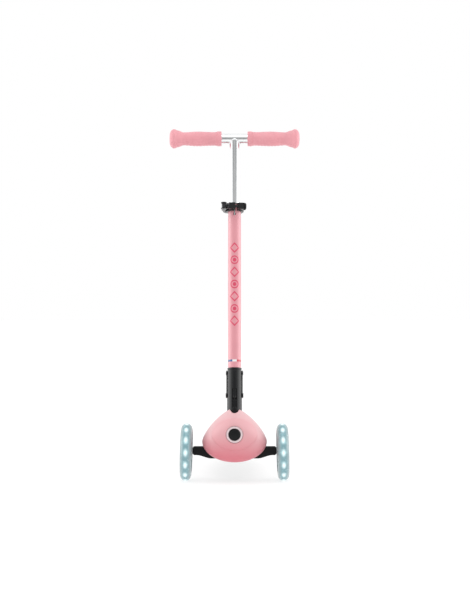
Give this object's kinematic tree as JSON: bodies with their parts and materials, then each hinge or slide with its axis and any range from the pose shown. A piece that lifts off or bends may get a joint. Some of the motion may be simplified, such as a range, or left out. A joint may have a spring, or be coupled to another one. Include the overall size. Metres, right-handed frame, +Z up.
{
  "type": "kick scooter",
  "caption": "Three-wheel kick scooter for toddlers with lean steering, a folding stem, a height-adjustable T-bar, light-up front wheels and a foot brake.",
  "frame": {"origin": "on the ground, below the middle of the scooter's bounding box", "axes": "+Z up, -Y the riding direction (front), +X across to the right as seen from the front"},
  "size_m": [0.285, 0.561, 0.7574],
  "materials": {
    "pink_gloss_shell": "glossy injection-moulded shell in pastel pink",
    "pink_paint": "satin powder coat in pastel pink on aluminium tube",
    "pink_rubber": "soft pastel pink grip rubber",
    "black_moulded": "fine-grained black glass-filled nylon",
    "black_painted_metal": "satin black coated aluminium",
    "black_rubber": "black rubber",
    "grey_plastic": "frosted grey plastic",
    "clear_tyre": "translucent blue-grey polyurethane",
    "frosted_core": "frosted clear plastic",
    "light_ring": "white light-emitting strip under clear plastic",
    "polished_aluminium": "polished anodised aluminium",
    "zinc_steel": "zinc-plated steel"
  },
  "bodies": {
    "deck": {"deck_shell": "pink_gloss_shell", "deck_frame": "black_moulded", "head_block": "black_moulded", "nose_cover": "pink_gloss_shell", "nose_bezel": "grey_plastic", "folding_bracket": "black_painted_metal", "hinge_plate_left": "black_painted_metal", "hinge_plate_right": "black_painted_metal", "fold_hinge_pin": "black_painted_metal", "bracket_cross_bolt": "zinc_steel", "kingpin_bolt": "zinc_steel", "kingpin_nut": "zinc_steel", "steering_bush_lower": "black_rubber", "steering_bush_upper": "black_rubber", "lock_button_spring": "zinc_steel", "nose_screw_left": "zinc_steel", "nose_screw_right": "zinc_steel", "deck_bolt_left": "zinc_steel", "deck_bolt_right": "zinc_steel", "rear_axle_bolt": "zinc_steel", "rear_axle_nut": "zinc_steel", "brake_pin": "zinc_steel", "brake_spring": "zinc_steel"},
    "truck": {"axle_beam": "black_moulded", "front_axle_bolt_left": "zinc_steel", "front_axle_bolt_right": "zinc_steel"},
    "rear_wheel": {"rear_tyre": "clear_tyre", "rear_wheel_core": "frosted_core", "rear_bearing_left": "zinc_steel", "rear_bearing_right": "zinc_steel"},
    "brake": {"brake_fender": "black_moulded", "brake_liner": "black_rubber"},
    "lock_button": {"steering_lock_button": "black_moulded"},
    "stem": {"lower_tube": "pink_paint", "fold_knuckle": "black_painted_metal", "guide_bush": "black_moulded", "clamp_collar": "black_moulded", "clamp_bolt": "zinc_steel", "clamp_nut": "black_moulded", "cam_pin": "zinc_steel", "fold_button_spring": "zinc_steel"},
    "clamp_lever": {"clamp_lever": "black_moulded"},
    "fold_button": {"fold_release_button": "grey_plastic"},
    "handlebar": {"handlebar_tube": "polished_aluminium", "grip_left": "pink_rubber", "grip_right": "pink_rubber", "stem_glider": "black_moulded"},
    "wheel_left": {"front_tyre_left": "clear_tyre", "wheel_core_left": "frosted_core", "light_ring_left": "light_ring", "outer_bearing_left": "zinc_steel", "inner_bearing_left": "zinc_steel", "hub_cap_left": "grey_plastic"},
    "wheel_right": {"front_tyre_right": "clear_tyre", "wheel_core_right": "frosted_core", "light_ring_right": "light_ring", "outer_bearing_right": "zinc_steel", "inner_bearing_right": "zinc_steel", "hub_cap_right": "grey_plastic"}
  },
  "joints": [
    {"name": "steering", "type": "hinge", "parent": "deck", "child": "truck", "pos_m": [0, -0.21546, 0.058], "axis": [0, -0.7071, 0.7071], "range_deg": [-15, 15], "stiffness_Nm_per_rad": 25},
    {"name": "wheel_left_spin", "type": "hinge", "parent": "truck", "child": "wheel_left", "pos_m": [-0.102, -0.21546, 0.0605], "axis": [0.9997, 0, -0.0244], "continuous": true},
    {"name": "wheel_right_spin", "type": "hinge", "parent": "truck", "child": "wheel_right", "pos_m": [0.102, -0.21546, 0.0605], "axis": [0.9997, 0, 0.0244], "continuous": true},
    {"name": "rear_wheel_spin", "type": "hinge", "parent": "deck", "child": "rear_wheel", "pos_m": [0, 0.23254, 0.04], "axis": [1, 0, 0], "continuous": true},
    {"name": "brake_press", "type": "hinge", "parent": "deck", "child": "brake", "pos_m": [0, 0.18761, 0.06996], "axis": [-1, 0, 0], "range_deg": [0, 5], "stiffness_Nm_per_rad": 2, "springref_deg": -8.59},
    {"name": "steering_lock_press", "type": "slide", "parent": "deck", "child": "lock_button", "axis": [0, 1, 0], "range_m": [0, 0.004], "stiffness_N_per_m": 800, "springref_m": -0.004},
    {"name": "stem_fold", "type": "hinge", "parent": "deck", "child": "stem", "pos_m": [0, -0.185, 0.17815], "axis": [-1, 0, 0], "range_deg": [0, 84]},
    {"name": "fold_button_press", "type": "slide", "parent": "stem", "child": "fold_button", "axis": [0, -0.9877, 0.1564], "range_m": [0, 0.004], "stiffness_N_per_m": 800, "springref_m": -0.004},
    {"name": "clamp_lever_swing", "type": "hinge", "parent": "stem", "child": "clamp_lever", "pos_m": [-0.02309, -0.14648, 0.58564], "axis": [0, 0.1564, 0.9877], "range_deg": [0, 150]},
    {"name": "bar_height", "type": "slide", "parent": "stem", "child": "handlebar", "axis": [0, 0.1564, 0.9877], "range_m": [-0.1, 0]}
  ]
}
